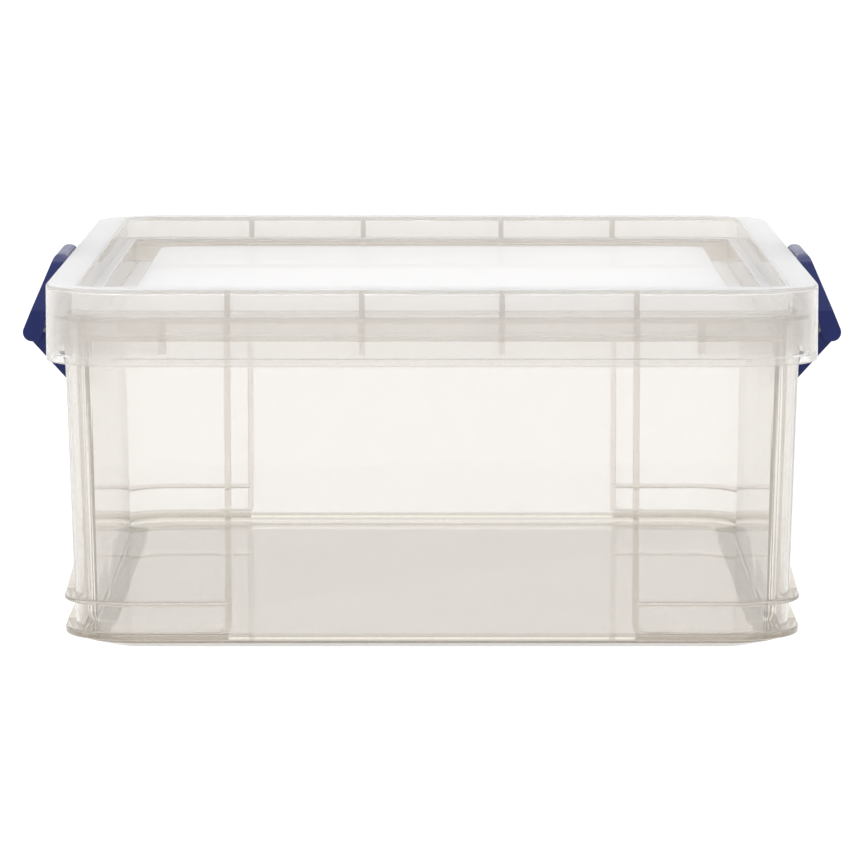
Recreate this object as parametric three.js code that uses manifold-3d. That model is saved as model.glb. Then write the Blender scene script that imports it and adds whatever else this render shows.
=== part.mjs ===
// An under bed storage box: a translucent tub, a recessed lid with a deep skirt,
// and two clip handles that pivot on pins moulded into the sides of the tub.
// Millimetres, +Z up, +X to the right, -Y to the front.
// The origin is the centre of the box's footprint, on the surface it stands on.
import * as THREE from "three";
import { mergeVertices } from "three/addons/utils/BufferGeometryUtils.js";
import Module from "manifold-3d";

const wasm = await Module();
wasm.setup();

// ---- driving dimensions ----------------------------------------------------
const WIDTH = 400; // over the lid's skirt, along X
const LENGTH = 500; // over the lid's skirt, along Y
const HEIGHT = 189; // floor to the top of the lid
const LID_CORNER = 44; // corner radius of the lid, seen from above
const CORNER_STEPS = 8; // straight pieces in each rounded corner
const CURVE_STEPS = 6; // and in each curve of a drawn outline
const ROD_SIDES = 24;
const EXTRA = 1; // how far a cutter runs past what it cuts
const FIT_GAP = 0.4; // clearance between pieces that touch

// Lid, heights from the floor.
const LID_WALL = 2.4;
const SKIRT_BOTTOM = 149;
const LIP_TOP = 153.5; // the skirt's thicker bottom edge ends here
const LIP_THICKNESS = 3.1;
const FLANGE_WIDTH = 17; // flat rim around the lid's recess
const RECESS_CORNER = 12; // corner radius of the recess where it meets the flange
const STEP_TOP = 176.4; // step half way down the recess
const STEP_THICKNESS = 2.2;
const STEP_INSET = 22.8; // from the skirt to the lower recess wall
const LEDGE_TOP = 162.4; // bottom of the recess
const LEDGE_THICKNESS = 2.2;
const PANEL_TOP = 173.5; // raised centre panel
const PANEL_HALF = { x: 162, y: 205 };
const PANEL_CORNER = 12;
const PANEL_DRAFT = 1.5; // the panel's sides lean in by this much
const WEB_THICKNESS = 3;
const LID_WEBS_FRONT = [35.8, 104.5]; // distances of the webs from the middle
const LID_WEBS_BACK = [41.5, 108.6];
const RAIL = { halfLength: 30, proud: 2.6, foot: 175, bottom: 177.5, top: 180.5 }; // each clip catches one

// Tub.
const TUB_WALL = 2.4;
const TUB_FOOT = 185.6; // half width of the wall carried down to the floor
const TUB_DRAFT = 0.0315; // growth of each side per millimetre of height
const TUB_CORNER_FOOT = 31;
const LENGTH_MORE = (LENGTH - WIDTH) / 2; // the box is this much longer than wide, per side
const FLOOR_TOP = 4.4;
const FOOT = [ // how far in the rounded foot of the wall is, at rising heights
  { z: 0, inset: 16.5 },
  { z: 1.2, inset: 12 },
  { z: 2.6, inset: 7.4 },
  { z: 3.8, inset: 3.6 },
  { z: 6, inset: 1.2 },
  { z: 8.5, inset: 0 },
];
const INNER_FOOT = 2; // radius between the floor and the walls
const INNER_FOOT_STEPS = 4;
const RIM_TOP = STEP_TOP - STEP_THICKNESS - FIT_GAP;
const RIM_THICKNESS = 2.6;
const RIM_BOTTOM = RIM_TOP - RIM_THICKNESS;
const RIM_HALF = 196.4;
const RIM_CORNER = 40.4;
const SIDE_END = 158; // each side wall is set in between -Y and +Y of this
const SIDE_FOOT = 182; // half width between the side walls, near the floor
const SIDE_TOP = 185; // and under the rim
const SIDE_FOOT_Z = 8; // the side wall is rounded in below this
const SIDE_ROUND = { inset: 8, bendInset: 3, bendZ: 3 };
const LEDGES = [ // flanges around each corner, with a gusset at the side end up to some height
  { bottom: 6.2, top: 10.2, gussetTop: 20.5 },
  { bottom: 23.9, top: 26.1, gussetTop: 42 },
];
const LEDGE_PROUD = 5.3;
const LEDGE_END = 186; // the ledges end this far from the middle of the sides
const GUSSET_THICKNESS = 2;
const FRAME_BOTTOM = 6.4; // the ribs start at this height
const FRAME_PROUD = 5; // and stand this far off the wall there
const RIB_THICKNESS = 3.2;
const TUB_RIBS_FRONT = 104.8;
const TUB_RIBS_BACK = 109.8;
const GUSSETS_FRONT = 35.8; // short ribs under the rim
const GUSSETS_BACK = 41.5;
const APRON_BOTTOM = 155.5; // corner aprons hang from the rim down to here
const APRON_THICKNESS = 1.8;
const APRON_START = 138;
const APRON_GUSSET = 4;

// Clip handles, as distances out from the middle of the box and heights.
const PIVOT = { out: 195, z: 125.5 };
const PIN_RADIUS = 2.6;
const BORE_RADIUS = PIN_RADIUS + FIT_GAP;
const EYE_RADIUS = 6;
const EYE_SLOT = 4.4; // the eye snaps over the pin through this slot
const ARM = { inner: 40, outer: 56 }; // each arm lies between these distances from the middle
const LUG_GAP = 0.5;
const LUG_THICKNESS = 3;
const LUG_RADIUS = 4.6;
const LUG_WEB = 4.5; // half height of the lug's web at the pin
const LUG_ROOT = 9; // and where it meets the wall
const CLIP_HALF = 60; // half width of the clip at its grip
const CREST_HALF = 40; // and at its crest
const SHOULDER_Z = 159; // the clip starts to narrow here
const SHOULDER_DROP = 9; // and ends narrowing this far below its crest
const CREST = { out: 205.3, z: HEIGHT };
const GRIP = { out: 219, z: 148.2, radius: 5, turn: 0.41 }; // the round grip ends at this angle
const GRIP_HEEL = [ // the grip's inner edge
  [213.4, 146.6],
  [215.1, 143.5],
];
const PLATE_INNER = [205.8, 177.5]; // the plate's inner face ends here, under the nose
const NOSE = { out: WIDTH / 2 + 0.6, depth: 4.6, roundness: 4.5 };
const HOLLOW = [ // the inside of the clip, open towards the box
  [210.2, 147.8],
  [219.6, 148.6],
  [218.2, 158],
  [207.9, 181],
  [204.6, 180.4],
  [197, 170],
];
const ARM_OUTER_EDGE = [218.6, 142.6]; // where each arm's lower edge meets the grip
const ARM_INNER_EDGE = [213.8, 149.2]; // and its upper edge
const ARM_FLARE = 1.5; // the arm is this much wider past its eye
const CLIP_WALL = 3;
const CHEEK = 4; // thickness of the clip's ends
const NOSE_GAP = 0.6;

// ---- shapes ----------------------------------------------------------------

// Points of a rectangle with round corners, counter-clockwise.
function roundedOutline(halfX, halfY, radius) {
  const points = [];
  const centres = [
    [halfX - radius, halfY - radius, 0],
    [radius - halfX, halfY - radius, 1],
    [radius - halfX, radius - halfY, 2],
    [halfX - radius, radius - halfY, 3],
  ];
  for (const [cx, cy, quarter] of centres) {
    for (let step = 0; step <= CORNER_STEPS; step++) {
      const angle = ((quarter + step / CORNER_STEPS) * Math.PI) / 2;
      points.push(new THREE.Vector2(cx + radius * Math.cos(angle), cy + radius * Math.sin(angle)));
    }
  }
  return points;
}

// A closed solid through outlines at rising heights: [{ z, x, y, r }, ...].
function loft(levels) {
  const rings = levels.map(({ z, x, y, r }) =>
    roundedOutline(x, y, r).map((p) => new THREE.Vector3(p.x, p.y, z)),
  );
  const count = rings[0].length;
  const index = [];
  for (let level = 0; level + 1 < rings.length; level++) {
    for (let i = 0; i < count; i++) {
      const a = level * count + i;
      const b = level * count + ((i + 1) % count);
      index.push(a, b, b + count, a, b + count, a + count);
    }
  }
  const top = (rings.length - 1) * count;
  for (let i = 1; i + 1 < count; i++) {
    index.push(0, i + 1, i);
    index.push(top, top + i, top + i + 1);
  }
  const geometry = new THREE.BufferGeometry().setFromPoints(rings.flat());
  geometry.setIndex(index);
  return solidOf(geometry);
}

// A round-cornered block of one outline between two heights.
function slab(x, y, r, bottom, top) {
  return loft([
    { z: bottom, x, y, r },
    { z: top, x, y, r },
  ]);
}

function solidOf(geometry) {
  const bare = geometry.clone();
  bare.deleteAttribute("normal");
  bare.deleteAttribute("uv");
  const merged = mergeVertices(bare, 1e-4);
  return new wasm.Manifold(
    new wasm.Mesh({
      numProp: 3,
      vertProperties: merged.attributes.position.array,
      triVerts: new Uint32Array(merged.index.array),
    }),
  );
}

function block(fromX, toX, fromY, toY, fromZ, toZ) {
  const geometry = new THREE.BoxGeometry(toX - fromX, toY - fromY, toZ - fromZ);
  geometry.translate((fromX + toX) / 2, (fromY + toY) / 2, (fromZ + toZ) / 2);
  return solidOf(geometry);
}

// A rod along Y at a distance out from the middle and a height.
function rodAlongY(out, z, radius, fromY, toY) {
  const geometry = new THREE.CylinderGeometry(radius, radius, toY - fromY, ROD_SIDES);
  geometry.translate(0, (fromY + toY) / 2, 0);
  geometry.rotateY(Math.PI / ROD_SIDES);
  geometry.translate(out, 0, z);
  return solidOf(geometry);
}

// A shape drawn in X (across) and Z (up), drawn out along Y.
function alongY(shape, fromY, toY) {
  const geometry = new THREE.ExtrudeGeometry(shape, {
    depth: toY - fromY,
    bevelEnabled: false,
    curveSegments: CURVE_STEPS,
  });
  geometry.rotateX(Math.PI / 2);
  geometry.translate(0, toY, 0);
  return solidOf(geometry);
}

function polygon(points) {
  return new THREE.Shape(points.map(([x, y]) => new THREE.Vector2(x, y)));
}

function joined(solids) {
  return solids.reduce((whole, piece) => whole.add(piece));
}

function mirroredX(solid) {
  return solid.mirror([1, 0, 0]);
}

function node(name, solid, material) {
  const { vertProperties, triVerts } = solid.getMesh();
  const geometry = new THREE.BufferGeometry();
  geometry.setAttribute("position", new THREE.BufferAttribute(vertProperties, 3));
  geometry.setIndex(new THREE.BufferAttribute(triVerts, 1));
  geometry.computeVertexNormals();
  const mesh = new THREE.Mesh(geometry, material);
  mesh.name = name;
  return mesh;
}

// ---- tub -------------------------------------------------------------------

// The tub's outline at a height, moved out by some distance.
function tubLevel(z, out) {
  const more = TUB_DRAFT * z + out;
  return { z, x: TUB_FOOT + more, y: TUB_FOOT + LENGTH_MORE + more, r: TUB_CORNER_FOOT + more };
}

function tubOutside() {
  const foot = FOOT.map(({ z, inset }) => tubLevel(z, -inset));
  return loft([...foot, tubLevel(RIM_BOTTOM + EXTRA, 0)]);
}

function tubInside() {
  const levels = [];
  for (let step = 0; step <= INNER_FOOT_STEPS; step++) {
    const angle = ((step / INNER_FOOT_STEPS) * Math.PI) / 2;
    const inset = INNER_FOOT * (1 - Math.sin(angle));
    levels.push(tubLevel(FLOOR_TOP + INNER_FOOT * (1 - Math.cos(angle)), -inset - TUB_WALL));
  }
  return loft([...levels, tubLevel(RIM_TOP + EXTRA, -TUB_WALL)]);
}

// What is missing from the right side: outside the recessed wall, or inside it.
function sideRecess(inset, bottom) {
  const wall = SIDE_FOOT - inset;
  const shape = polygon([
    [wall - SIDE_ROUND.inset, bottom],
    [wall - SIDE_ROUND.bendInset, bottom + SIDE_ROUND.bendZ],
    [wall, bottom + SIDE_FOOT_Z],
    [SIDE_TOP - inset, RIM_TOP + EXTRA],
    [WIDTH, RIM_TOP + EXTRA],
    [WIDTH, bottom],
  ]);
  const end = SIDE_END + inset;
  return alongY(shape, -end, end);
}

function bothSides(solid) {
  return solid.add(mirroredX(solid));
}

// The part of a solid that lies in the four corners, past two distances.
function cornersOf(solid, pastX, pastFront, pastBack, bottom, top) {
  const corners = [];
  for (const side of [-1, 1]) {
    const [fromX, toX] = side < 0 ? [-WIDTH, -pastX] : [pastX, WIDTH];
    corners.push(block(fromX, toX, -LENGTH, -pastFront, bottom, top));
    corners.push(block(fromX, toX, pastBack, LENGTH, bottom, top));
  }
  return solid.intersect(joined(corners));
}

// Ledges wrap round each corner, from a rib to a gusset on the side wall.
function cornerLedges() {
  const rings = LEDGES.map(({ bottom, top }) =>
    loft([tubLevel(bottom, LEDGE_PROUD), tubLevel(top, LEDGE_PROUD)]),
  );
  const both = joined(rings);
  const front = cornersOf(both, TUB_RIBS_FRONT, LEDGE_END, LENGTH / 2, 0, HEIGHT);
  const back = cornersOf(both, TUB_RIBS_BACK, LENGTH / 2, LEDGE_END, 0, HEIGHT);
  return front.add(back).add(bothSides(joined(LEDGES.flatMap(ledgeGussets))));
}

// Triangles on the right side wall that stand on the ends of a ledge.
function ledgeGussets({ bottom, top, gussetTop }) {
  const foot = TUB_FOOT + TUB_DRAFT * bottom;
  const inside = foot - TUB_WALL / 2;
  const shape = polygon([
    [inside, bottom],
    [foot + LEDGE_PROUD, bottom],
    [foot + LEDGE_PROUD, top],
    [TUB_FOOT + TUB_DRAFT * gussetTop, gussetTop],
    [inside, gussetTop],
  ]);
  const from = LEDGE_END;
  const to = LEDGE_END + GUSSET_THICKNESS;
  return [alongY(shape, -to, -from), alongY(shape, from, to)];
}

// What a rib on the front (side -1) or back (side 1) wall takes of the frame around the tub.
function wallRib(x, side, thickness, bottom) {
  const inside = TUB_FOOT + LENGTH_MORE - FLANGE_WIDTH;
  const [fromY, toY] = side < 0 ? [-LENGTH, -inside] : [inside, LENGTH];
  return block(x - thickness / 2, x + thickness / 2, fromY, toY, bottom, RIM_BOTTOM + EXTRA);
}

function tubRibs() {
  const frame = loft([
    { z: FRAME_BOTTOM, x: RIM_HALF, y: TUB_FOOT + LENGTH_MORE + FRAME_PROUD, r: RIM_CORNER },
    { z: RIM_BOTTOM + EXTRA, x: RIM_HALF, y: RIM_HALF + LENGTH_MORE, r: RIM_CORNER },
  ]);
  const ribs = [];
  for (const side of [-1, 1]) {
    const x = side < 0 ? TUB_RIBS_FRONT : TUB_RIBS_BACK;
    const short = side < 0 ? GUSSETS_FRONT : GUSSETS_BACK;
    for (const sign of [-1, 1]) {
      ribs.push(wallRib(sign * x, side, RIB_THICKNESS, FRAME_BOTTOM));
      ribs.push(wallRib(sign * short, side, RIB_THICKNESS, APRON_BOTTOM));
      ribs.push(wallRib(sign * APRON_START, side, APRON_GUSSET, APRON_BOTTOM));
    }
  }
  return frame.intersect(joined(ribs));
}

function tubRim() {
  const rim = slab(RIM_HALF, RIM_HALF + LENGTH_MORE, RIM_CORNER, RIM_BOTTOM, RIM_TOP);
  const inner = RIM_HALF - APRON_THICKNESS;
  const apron = slab(RIM_HALF, RIM_HALF + LENGTH_MORE, RIM_CORNER, APRON_BOTTOM, RIM_BOTTOM + EXTRA);
  const innerCorner = RIM_CORNER - APRON_THICKNESS;
  const ring = apron.subtract(
    slab(inner, inner + LENGTH_MORE, innerCorner, APRON_BOTTOM - EXTRA, RIM_TOP),
  );
  const startY = APRON_START + LENGTH_MORE;
  return rim.add(cornersOf(ring, APRON_START, startY, startY, 0, HEIGHT));
}

// Lugs on the right side, with the pins that the clip's eyes turn on.
function clipLugs() {
  const pieces = [];
  const wallZ = (PIVOT.z / RIM_TOP) * (SIDE_TOP - SIDE_FOOT);
  const root = SIDE_FOOT + wallZ - TUB_WALL / 2;
  for (const side of [-1, 1]) {
    const spans = [
      [ARM.inner - LUG_GAP - LUG_THICKNESS, ARM.inner - LUG_GAP],
      [ARM.outer + LUG_GAP, ARM.outer + LUG_GAP + LUG_THICKNESS],
    ];
    for (const [near, far] of spans) {
      const [fromY, toY] = side < 0 ? [-far, -near] : [near, far];
      pieces.push(rodAlongY(PIVOT.out, PIVOT.z, LUG_RADIUS, fromY, toY));
      const web = polygon([
        [root, PIVOT.z - LUG_ROOT],
        [PIVOT.out, PIVOT.z - LUG_WEB],
        [PIVOT.out, PIVOT.z + LUG_WEB],
        [root, PIVOT.z + LUG_ROOT],
      ]);
      pieces.push(alongY(web, fromY, toY));
    }
    const pinEnds = [side * (spans[0][0] + EXTRA), side * (spans[1][1] - EXTRA)];
    pieces.push(rodAlongY(PIVOT.out, PIVOT.z, PIN_RADIUS, Math.min(...pinEnds), Math.max(...pinEnds)));
  }
  return joined(pieces);
}

function tub() {
  const outside = tubOutside().add(cornerLedges()).subtract(bothSides(sideRecess(0, 0)));
  const recessBack = bothSides(sideRecess(TUB_WALL, FLOOR_TOP));
  const inside = tubInside().subtract(recessBack);
  return outside
    .add(tubRibs())
    .add(tubRim())
    .subtract(inside)
    .add(bothSides(clipLugs()));
}

// ---- lid -------------------------------------------------------------------

// The lid's outline moved in by some distance.
function lidSlab(inset, bottom, top, radius = LID_CORNER - inset) {
  return slab(WIDTH / 2 - inset, LENGTH / 2 - inset, radius, bottom, top);
}

// The same for the recess, whose corners are tighter than the skirt's.
function recessSlab(inset, bottom, top) {
  return lidSlab(inset, bottom, top, RECESS_CORNER + FLANGE_WIDTH - inset);
}

function lidWebs() {
  const webs = [];
  const bottom = STEP_TOP - STEP_THICKNESS;
  const inner = LENGTH / 2 - FLANGE_WIDTH - LID_WALL / 2;
  const outer = LENGTH / 2 - LID_WALL / 2;
  const top = HEIGHT - LID_WALL / 2;
  const half = WEB_THICKNESS / 2;
  for (const sign of [-1, 1]) {
    for (const x of LID_WEBS_FRONT) {
      webs.push(block(sign * x - half, sign * x + half, -outer, -inner, bottom, top));
    }
    for (const x of LID_WEBS_BACK) {
      webs.push(block(sign * x - half, sign * x + half, inner, outer, bottom, top));
    }
  }
  return joined(webs);
}

function lidPanel(inset, bottom, top) {
  const { x, y } = PANEL_HALF;
  const r = PANEL_CORNER;
  return loft([
    { z: bottom, x: x + PANEL_DRAFT - inset, y: y + PANEL_DRAFT - inset, r: r + PANEL_DRAFT - inset },
    { z: top, x: x - inset, y: y - inset, r: r - inset },
  ]);
}

function catchRail() {
  const { halfLength, proud, foot, bottom, top } = RAIL;
  const side = WIDTH / 2;
  const shape = polygon([
    [side - LID_WALL / 2, foot],
    [side, foot],
    [side + proud, bottom],
    [side + proud, top],
    [side - LID_WALL / 2, top],
  ]);
  return alongY(shape, -halfLength, halfLength);
}

function lid() {
  const stepBottom = STEP_TOP - STEP_THICKNESS;
  const ledgeBottom = LEDGE_TOP - LEDGE_THICKNESS;
  const skirt = lidSlab(0, SKIRT_BOTTOM, HEIGHT)
    .subtract(lidSlab(LID_WALL, LIP_TOP, HEIGHT - LID_WALL))
    .subtract(lidSlab(LIP_THICKNESS, SKIRT_BOTTOM - EXTRA, LIP_TOP + EXTRA));
  const upperWall = recessSlab(FLANGE_WIDTH - LID_WALL, stepBottom, HEIGHT - LID_WALL / 2);
  const lowerWall = recessSlab(STEP_INSET - LID_WALL, ledgeBottom, STEP_TOP);
  const hollow = recessSlab(FLANGE_WIDTH, STEP_TOP, HEIGHT + EXTRA).add(
    recessSlab(STEP_INSET, LEDGE_TOP, STEP_TOP + EXTRA),
  );
  return skirt
    .add(upperWall)
    .add(lowerWall)
    .add(lidWebs())
    .subtract(hollow)
    .add(lidPanel(0, ledgeBottom, PANEL_TOP))
    .subtract(lidPanel(LID_WALL, ledgeBottom - EXTRA, PANEL_TOP - LID_WALL))
    .add(bothSides(catchRail()));
}

// ---- clip handles ----------------------------------------------------------

// The section of the right clip: grip at the bottom, plate, crest and nose.
function clipPlateShape() {
  const shape = polygon(GRIP_HEEL);
  const noseBottom = RAIL.top + NOSE_GAP;
  shape.lineTo(GRIP.out - 0.5, GRIP.z - GRIP.radius);
  shape.absarc(GRIP.out, GRIP.z, GRIP.radius, -Math.PI / 2, GRIP.turn, false);
  shape.lineTo(CREST.out + 3.8, CREST.z - 3.6);
  shape.quadraticCurveTo(CREST.out + 2.2, CREST.z, CREST.out - 1, CREST.z);
  shape.quadraticCurveTo(NOSE.out + 1, CREST.z - 0.6, NOSE.out, CREST.z - NOSE.roundness);
  shape.lineTo(NOSE.out, noseBottom);
  shape.lineTo(NOSE.out + NOSE.depth, noseBottom);
  shape.lineTo(...PLATE_INNER);
  shape.closePath();
  return shape;
}

// The clip seen from its side: straight ends at the grip, narrower towards the crest.
function clipFront() {
  const shape = new THREE.Shape();
  const low = PIVOT.z - 2 * EYE_RADIUS;
  shape.moveTo(-CLIP_HALF, low);
  shape.lineTo(CLIP_HALF, low);
  shape.lineTo(CLIP_HALF, SHOULDER_Z);
  const top = CREST.z + EXTRA;
  const narrow = CREST.z - SHOULDER_DROP;
  shape.lineTo(CREST_HALF + 5, narrow);
  shape.quadraticCurveTo(CREST_HALF + 1, top, CREST_HALF - 8, top);
  shape.lineTo(8 - CREST_HALF, top);
  shape.quadraticCurveTo(-CREST_HALF - 1, top, -CREST_HALF - 5, narrow);
  shape.lineTo(-CLIP_HALF, SHOULDER_Z);
  const geometry = new THREE.ExtrudeGeometry(shape, {
    depth: WIDTH / 4,
    bevelEnabled: false,
    curveSegments: CURVE_STEPS,
  });
  geometry.rotateX(Math.PI / 2);
  geometry.rotateZ(Math.PI / 2);
  geometry.translate((WIDTH * 3) / 8, 0, 0);
  return solidOf(geometry);
}

function clipArms() {
  const reach = EYE_RADIUS * Math.SQRT1_2;
  const shape = polygon([
    [PIVOT.out + reach, PIVOT.z - reach],
    ARM_OUTER_EDGE,
    [GRIP.out + EXTRA, GRIP.z],
    ARM_INNER_EDGE,
    [PIVOT.out - reach + ARM_FLARE, PIVOT.z + reach + ARM_FLARE],
    [PIVOT.out - reach, PIVOT.z + reach],
  ]);
  const arms = [];
  for (const side of [-1, 1]) {
    const ends = [side * ARM.inner, side * ARM.outer];
    const [fromY, toY] = [Math.min(...ends), Math.max(...ends)];
    const eye = rodAlongY(PIVOT.out, PIVOT.z, EYE_RADIUS, fromY, toY);
    const bore = rodAlongY(PIVOT.out, PIVOT.z, BORE_RADIUS, fromY - EXTRA, toY + EXTRA);
    const slot = block(
      PIVOT.out - 2 * EYE_RADIUS,
      PIVOT.out,
      fromY - EXTRA,
      toY + EXTRA,
      PIVOT.z - EYE_SLOT / 2,
      PIVOT.z + EYE_SLOT / 2,
    );
    arms.push(eye.add(alongY(shape, fromY, toY)).subtract(bore).subtract(slot));
  }
  return joined(arms);
}

function rightClip() {
  const inside = CLIP_HALF - CHEEK;
  const wholePlate = alongY(clipPlateShape(), -CLIP_HALF, CLIP_HALF).intersect(clipFront());
  const hollow = alongY(polygon(HOLLOW), -inside, inside);
  const nearCrest = alongY(polygon(HOLLOW), -CREST_HALF, CREST_HALF);
  const lowHollow = hollow.intersect(block(0, WIDTH, -LENGTH, LENGTH, 0, SHOULDER_Z + CLIP_WALL));
  return wholePlate.subtract(lowHollow.add(nearCrest)).add(clipArms());
}

// ---- the model -------------------------------------------------------------

const clearPlastic = () =>
  new THREE.MeshStandardMaterial({ color: 0xe9e4da, roughness: 0.25, metalness: 0 });
const bluePlastic = () =>
  new THREE.MeshStandardMaterial({ color: 0x1c2f7c, roughness: 0.35, metalness: 0 });

const box = new THREE.Group();
box.add(node("tub", tub(), clearPlastic()));
box.add(node("lid", lid(), clearPlastic()));
box.add(node("clip_right", rightClip(), bluePlastic()));
box.add(node("clip_left", mirroredX(rightClip()), bluePlastic()));

export default box;
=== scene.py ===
# Under bed storage box: the finished surfaces around the CAD frame.
# A tub and a lid in milky clear plastic, and two navy clip handles.
# Shapes are drawn in millimetres and turned into metres as each mesh is made.
import math

import bmesh
import bpy
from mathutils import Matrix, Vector


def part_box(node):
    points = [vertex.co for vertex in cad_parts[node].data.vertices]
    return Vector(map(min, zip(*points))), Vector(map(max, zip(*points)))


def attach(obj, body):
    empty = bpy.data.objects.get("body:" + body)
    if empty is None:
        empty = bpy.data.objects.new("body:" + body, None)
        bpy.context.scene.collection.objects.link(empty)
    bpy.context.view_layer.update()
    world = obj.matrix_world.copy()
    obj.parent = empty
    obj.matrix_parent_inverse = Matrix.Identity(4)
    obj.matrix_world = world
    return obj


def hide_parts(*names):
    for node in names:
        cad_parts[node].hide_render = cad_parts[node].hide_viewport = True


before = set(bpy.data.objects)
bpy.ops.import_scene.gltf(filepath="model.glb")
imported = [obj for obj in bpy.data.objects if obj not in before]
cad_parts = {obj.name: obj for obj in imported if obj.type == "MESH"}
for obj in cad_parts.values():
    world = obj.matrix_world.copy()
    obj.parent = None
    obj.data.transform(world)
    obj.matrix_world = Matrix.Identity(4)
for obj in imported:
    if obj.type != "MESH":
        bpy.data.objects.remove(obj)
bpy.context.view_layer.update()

MM = 0.001

# ---- driving sizes, millimetres ---------------------------------------------
lid_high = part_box("lid")[1]
tub_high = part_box("tub")[1]
clip_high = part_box("clip_right")[1]

RAIL_PROUD = 2.6  # the catch rails are the widest part of the lid
HALF_X = lid_high[0] / MM - RAIL_PROUD
HALF_Y = lid_high[1] / MM
HEIGHT = lid_high[2] / MM
LENGTH_MORE = HALF_Y - HALF_X
CORNER_STEPS = 16  # straight pieces in each rounded corner, seen from above
CURVE_STEPS = 8  # in each curve of the clips, the lugs and the bent ribs
FILLET_STEPS = 5  # and in each small rounding
CIRCLE_STEPS = 48
BEVEL_STEPS = 3
EXTRA = 1  # how far a piece or a cutter runs past the face that it meets
WELD = 1e-7  # metres: points closer than this are one point
SMOOTH_BELOW = 32  # degrees: sharper edges aren't shaded smooth

# Lid
LID_CORNER = 44
LID_WALL = 2.4
SKIRT_BOTTOM = 149
LIP_TOP = 153.5
LIP_THICKNESS = 3.1
LIP_SLOPE = 0.7
FLANGE_WIDTH = 17
RECESS_CORNER = 12
STEP_TOP = 176.4
STEP_THICKNESS = 2.2
STEP_INSET = 22.8
LEDGE_TOP = 162.4
LEDGE_THICKNESS = 2.2
PANEL_TOP = 173.5
PANEL_HALF_X = 162
PANEL_HALF_Y = 205
PANEL_CORNER = 12
PANEL_DRAFT = 1.5
PANEL_FOOT = HALF_X - PANEL_HALF_X - PANEL_DRAFT  # inset of the panel's foot from the skirt
PANEL_RING = 8  # the skin ends in a flat face this far in from the panel's edge
WEB_THICKNESS = 3
LID_WEBS_FRONT = (35.8, 104.5)
LID_WEBS_BACK = (41.5, 108.6)
RAIL_HALF = 30
RAIL_FOOT = 175
RAIL_BOTTOM = 177.5
RAIL_TOP = 180.5
RAIL_END = 0.8  # rounding of the rails' ends

# Tub
TUB_WALL = 2.4
TUB_FOOT = 185.6
TUB_DRAFT = 0.0315
TUB_CORNER_FOOT = 31
FOOT = ((16.5, 0, 6), (3.6, 3.8, 3), (0, 8.5, 5))  # how far in, height and rounding
FOOT_RING = 24  # the skins end in flat faces this far in from the walls
FLOOR_TOP = 4.4
INNER_FOOT = 2
MOUTH_FLARE = 0.8
RIM_TOP = tub_high[2] / MM
RIM_THICKNESS = 2.6
RIM_BOTTOM = RIM_TOP - RIM_THICKNESS
RIM_HALF = tub_high[1] / MM - LENGTH_MORE
RIM_CORNER = 40.4
RIM_REACH = 6  # the rim reaches in this far, until the inside is cut out
RIM_ROUND = 0.8
SIDE_END = 158  # each side wall is set in between -Y and +Y of this
SIDE_FOOT = 182  # half width between the side walls, carried down to the floor
SIDE_DRAFT = 0.0173
SIDE_LEAST = 1  # they are set in by this much or more
SIDE_ROUND_OUTER = 4  # roundings at each end of the part that is set in
SIDE_ROUND_INNER = 2.5
SIDE_ROUND_SHARE = 0.4  # neither is more than this share of the depth that it is set in
SIDE_FOLLOWS = 0.5  # at the rounded foot, the side moves in by this share of what the walls do
CORNER_FOLLOWS = 0.8  # and the corner radius shrinks by this share
FRAME_PROUD = 5
FRAME_FOOT_Z = 6.4
RIB_THICKNESS = 3.2
RIB_ROOT = 10  # the ribs reach this far back into the wall
RIB_EDGE = 0.3  # rounding of the ribs' outer edges
RIB_STEPS = 4  # straight pieces in that rounding
TUB_RIBS = {-1: 104.8, 1: 109.8}  # front and back
GUSSETS = {-1: 35.8, 1: 41.5}
LEDGES = ((6.2, 10.2, 20.5), (23.9, 26.1, 42))  # bottom, top, and how high each end gusset goes
LEDGE_PROUD = 5.3
LEDGE_END = 186
LEDGE_EDGE = 0.9
GUSSET_THICKNESS = 2
GUSSET_EDGE = 0.4
GUSSET_TIP = 0.2  # the gusset still stands out this far at its top
LEDGE_LINE = 9  # the ribs bend round into the lower ledge at this height
RIB_BEND = 6
APRON_BOTTOM = 155.5
APRON_THICKNESS = 1.8
APRON_START = 138
APRON_GUSSET = 4

# Clip handles
PIVOT_OUT = 195
PIVOT_Z = 125.5
PIN_RADIUS = 2.6
BORE_RADIUS = 3.0
EYE_RADIUS = 6
EYE_SLOT = 4.4
ARM_INNER = 40
ARM_OUTER = 56
LUG_GAP = 0.5
LUG_THICKNESS = 3
LUG_RADIUS = 4.6
LUG_ROOT = 9  # half height of a lug where it meets the wall
LUG_EDGE = 0.5
CLIP_HALF = clip_high[1] / MM
CREST_HALF = 40
CREST_FLAT = 30  # half length of the straight part of its top
SHOULDER_Z = 159
SHOULDER_DROP = 5  # the clip ends narrowing this far below the top of its crest
CLIP_OUT = clip_high[0] / MM
CLIP_WALL = 3
CLIP_EDGE = 0.9
CHEEK = 4
GRIP_HEEL = ((213.2, 147), (214.8, 143.2))  # the grip's inner edge: x and z
GRIP_CORNER = (CLIP_OUT + 2.3, 143.2)  # where the lines along the grip meet, outside its rounding
GRIP_RADIUS = 5
CREST_OUT = 207.6
NOSE = HALF_X + 0.6  # the nose's tip stays just clear of the skirt
NOSE_DEPTH = 4.6
NOSE_GAP = 0.6  # between the nose and the catch rail
GRIP_STEPS = 10
PLATE_INNER = (205.8, 177.5)  # the plate's inner face ends here, under the nose
HOLLOW = (  # the inside of the clip, open towards the box: x, z and rounding
    (210.2, 147.8, 0.8),
    (CLIP_OUT - 4.4, 148.6, 2),
    (218.2, 158, 3),
    (207.9, 181, 1.2),
    (204.6, 180.4, 0.8),
    (197, 170, 0),
)
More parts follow.
